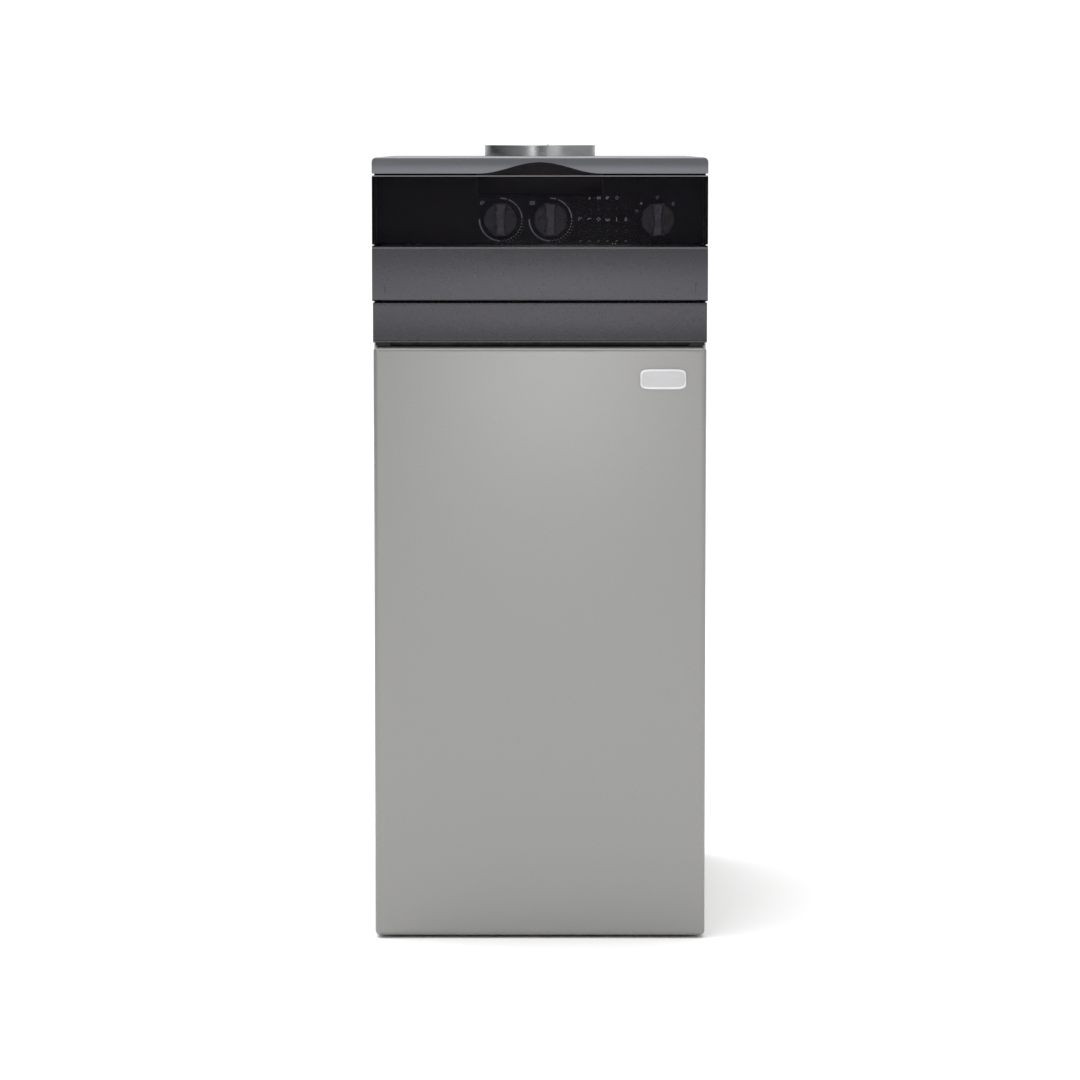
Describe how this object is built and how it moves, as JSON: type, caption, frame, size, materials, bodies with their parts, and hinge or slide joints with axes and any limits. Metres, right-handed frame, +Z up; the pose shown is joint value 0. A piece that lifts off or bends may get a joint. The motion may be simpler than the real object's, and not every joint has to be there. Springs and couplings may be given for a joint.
{
  "type": "floor-standing gas boiler",
  "caption": "Slim floor-standing gas boiler: hinged smoked control door, control knobs, lift-off front panel and lid, burner assembly with cast-iron exchanger, draught diverter and flue collar.",
  "frame": {"origin": "centre of the footprint, on the floor under the levelling feet", "axes": "+Z up, the front with the control door and knobs faces -Y, +X to the right of a person facing the front"},
  "size_m": [0.351, 0.6, 0.838],
  "materials": {
    "grey_plastic_skin": "dark grey metallic lacquer on plastic",
    "lid_paint": "satin dark grey powder coat",
    "satin_panel": "satin warm light-grey metallic",
    "side_paint": "satin grey powder coat",
    "smoked": "glossy smoked dark",
    "black_plastic": "moulded black",
    "knob_plastic": "moulded dark grey",
    "zinc": "galvanised sheet",
    "steel": "plain steel",
    "silver": "silver lacquer",
    "cast_iron": "as cast",
    "stainless": "stainless sheet",
    "foil": "mineral wool faced with foil",
    "aluminised": "aluminised sheet",
    "alloy": "die-cast",
    "copper": "copper pipe",
    "brass": "turned brass",
    "ceramic": "glazed ceramic, with a metal tip",
    "board": "circuit board laminate",
    "laminate": "varnished iron laminations",
    "grey_plastic": "moulded grey",
    "green_paint": "dark green enamel",
    "yellow": "moulded yellow",
    "red": "moulded red",
    "lamp": "clear light guide",
    "rubber": "black rubber on a steel stem"
  },
  "bodies": {
    "casing": {"base_frame": "zinc", "back_panel": "zinc", "front_crossbar": "zinc", "control_box": "zinc", "flue_collar": "zinc", "side_panel_left": "side_paint", "side_panel_right": "side_paint", "control_fascia": "black_plastic", "cable_gland": "black_plastic", "lower_trim": "grey_plastic_skin", "hinge_pin_left": "steel", "hinge_pin_right": "steel", "gas_pipe": "steel", "gas_manifold": "steel", "potentiometer_dhw": "grey_plastic", "potentiometer_heating": "grey_plastic", "selector_switch": "grey_plastic", "circuit_board": "board", "transformer": "laminate", "indicator_row_upper": "lamp", "indicator_row_lower": "lamp", "section_1": "cast_iron", "section_2": "cast_iron", "section_3": "cast_iron", "section_4": "cast_iron", "insulation_jacket": "foil", "burner_tray": "aluminised", "smoke_hood": "aluminised", "draught_diverter": "aluminised", "burner_bar_1": "stainless", "burner_bar_2": "stainless", "burner_bar_3": "stainless", "burner_bar_4": "stainless", "ignition_electrode": "ceramic", "flame_sensor": "ceramic", "gas_valve": "alloy", "gas_riser": "copper", "flow_pipe": "copper", "return_pipe": "copper", "return_riser": "copper", "gas_cock": "brass", "safety_valve": "brass", "pump_housing": "green_paint", "pump_motor": "green_paint"},
    "control_door": {"door_lower": "grey_plastic_skin", "door_window": "smoked"},
    "knob_dhw": {"knob_dhw": "knob_plastic"},
    "knob_heating": {"knob_heating": "knob_plastic"},
    "knob_selector": {"knob_selector": "knob_plastic"},
    "front_panel": {"front_panel": "satin_panel", "badge_plate": "silver"},
    "top_cover": {"top_cover": "lid_paint"},
    "foot_front_left": {"foot_front_left": "rubber"},
    "foot_front_right": {"foot_front_right": "rubber"},
    "foot_rear_left": {"foot_rear_left": "rubber"},
    "foot_rear_right": {"foot_rear_right": "rubber"},
    "gas_cock_lever": {"gas_cock_lever": "yellow"},
    "pump_impeller": {"pump_impeller": "grey_plastic"},
    "safety_valve_knob": {"safety_valve_knob": "red"}
  },
  "joints": [
    {"name": "control_door_hinge", "type": "hinge", "parent": "casing", "child": "control_door", "pos_m": [0, -0.295, 0.6799], "axis": [1, 0, 0], "range_deg": [0, 90]},
    {"name": "knob_dhw_turn", "type": "hinge", "parent": "casing", "child": "knob_dhw", "pos_m": [-0.0411, -0.2788, 0.7598], "axis": [0, 1, 0], "range_deg": [0, 270]},
    {"name": "knob_heating_turn", "type": "hinge", "parent": "casing", "child": "knob_heating", "pos_m": [0.011, -0.2788, 0.7598], "axis": [0, 1, 0], "range_deg": [0, 270]},
    {"name": "knob_selector_turn", "type": "hinge", "parent": "casing", "child": "knob_selector", "pos_m": [0.123, -0.2788, 0.7598], "axis": [0, 1, 0], "range_deg": [-68, 45]},
    {"name": "front_panel_lift_off", "type": "slide", "parent": "casing", "child": "front_panel", "axis": [0, -1, 0], "range_m": [0, 0.15]},
    {"name": "top_cover_lift_off", "type": "slide", "parent": "casing", "child": "top_cover", "axis": [0, 0, 1], "range_m": [0, 0.1]},
    {"name": "foot_front_left_screw", "type": "slide", "parent": "casing", "child": "foot_front_left", "axis": [0, 0, -1], "range_m": [0, 0.025]},
    {"name": "foot_front_right_screw", "type": "slide", "parent": "casing", "child": "foot_front_right", "axis": [0, 0, -1], "range_m": [0, 0.025]},
    {"name": "foot_rear_left_screw", "type": "slide", "parent": "casing", "child": "foot_rear_left", "axis": [0, 0, -1], "range_m": [0, 0.025]},
    {"name": "foot_rear_right_screw", "type": "slide", "parent": "casing", "child": "foot_rear_right", "axis": [0, 0, -1], "range_m": [0, 0.025]},
    {"name": "gas_cock_turn", "type": "hinge", "parent": "casing", "child": "gas_cock_lever", "pos_m": [-0.115, -0.1784, 0.0535], "axis": [0, 1, 0], "range_deg": [0, 90]},
    {"name": "safety_valve_turn", "type": "hinge", "parent": "casing", "child": "safety_valve_knob", "pos_m": [0.1438, 0.182, 0.5461], "axis": [0, 0, -1], "range_deg": [0, 90]},
    {"name": "pump_impeller_spin", "type": "hinge", "parent": "casing", "child": "pump_impeller", "pos_m": [0.115, -0.195, 0.1405], "axis": [0, 1, 0], "continuous": true}
  ]
}
